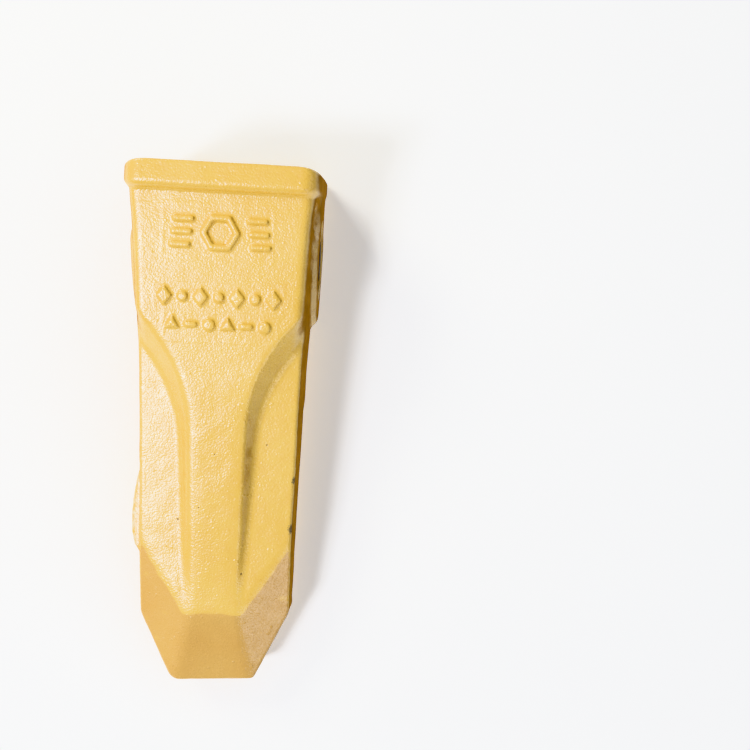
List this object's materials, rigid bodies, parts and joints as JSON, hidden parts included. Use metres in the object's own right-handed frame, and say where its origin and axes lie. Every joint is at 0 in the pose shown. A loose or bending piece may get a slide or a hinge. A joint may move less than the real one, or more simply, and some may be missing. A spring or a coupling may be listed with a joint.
{
  "type": "excavator bucket tooth",
  "caption": "Cast, yellow-painted bucket tooth with collar, central rib, bevelled tip and adapter socket, carrying its rubber-cored lock pin.",
  "frame": {"origin": "on the pin axis, at the middle of the tooth's width and height", "axes": "+X along the pin, +Y from the socket mouth towards the cutting edge, +Z normal to the broad face that carries the cast marks"},
  "size_m": [0.0984, 0.282, 0.0968],
  "materials": {
    "yellow_painted_casting": "semi-gloss paint over rough cast steel",
    "pin_steel": "dark oiled forging",
    "pin_rubber": "moulded nitrile rubber"
  },
  "bodies": {
    "tooth": {"tooth_point": "yellow_painted_casting"},
    "lock_pin": {"pin_main_bar": "pin_steel", "pin_rubber_core": "pin_rubber"},
    "lock_bar": {"pin_lock_bar": "pin_steel"}
  },
  "joints": [
    {"name": "pin_drive_out", "type": "slide", "parent": "tooth", "child": "lock_pin", "axis": [1, 0, 0], "range_m": [-0.1, 0.1]},
    {"name": "lock_bar_squeeze", "type": "slide", "parent": "lock_pin", "child": "lock_bar", "axis": [0, 0, 1], "range_m": [-0.002, 0], "stiffness_N_per_m": 20000, "deforming": ["pin_rubber_core"]}
  ]
}
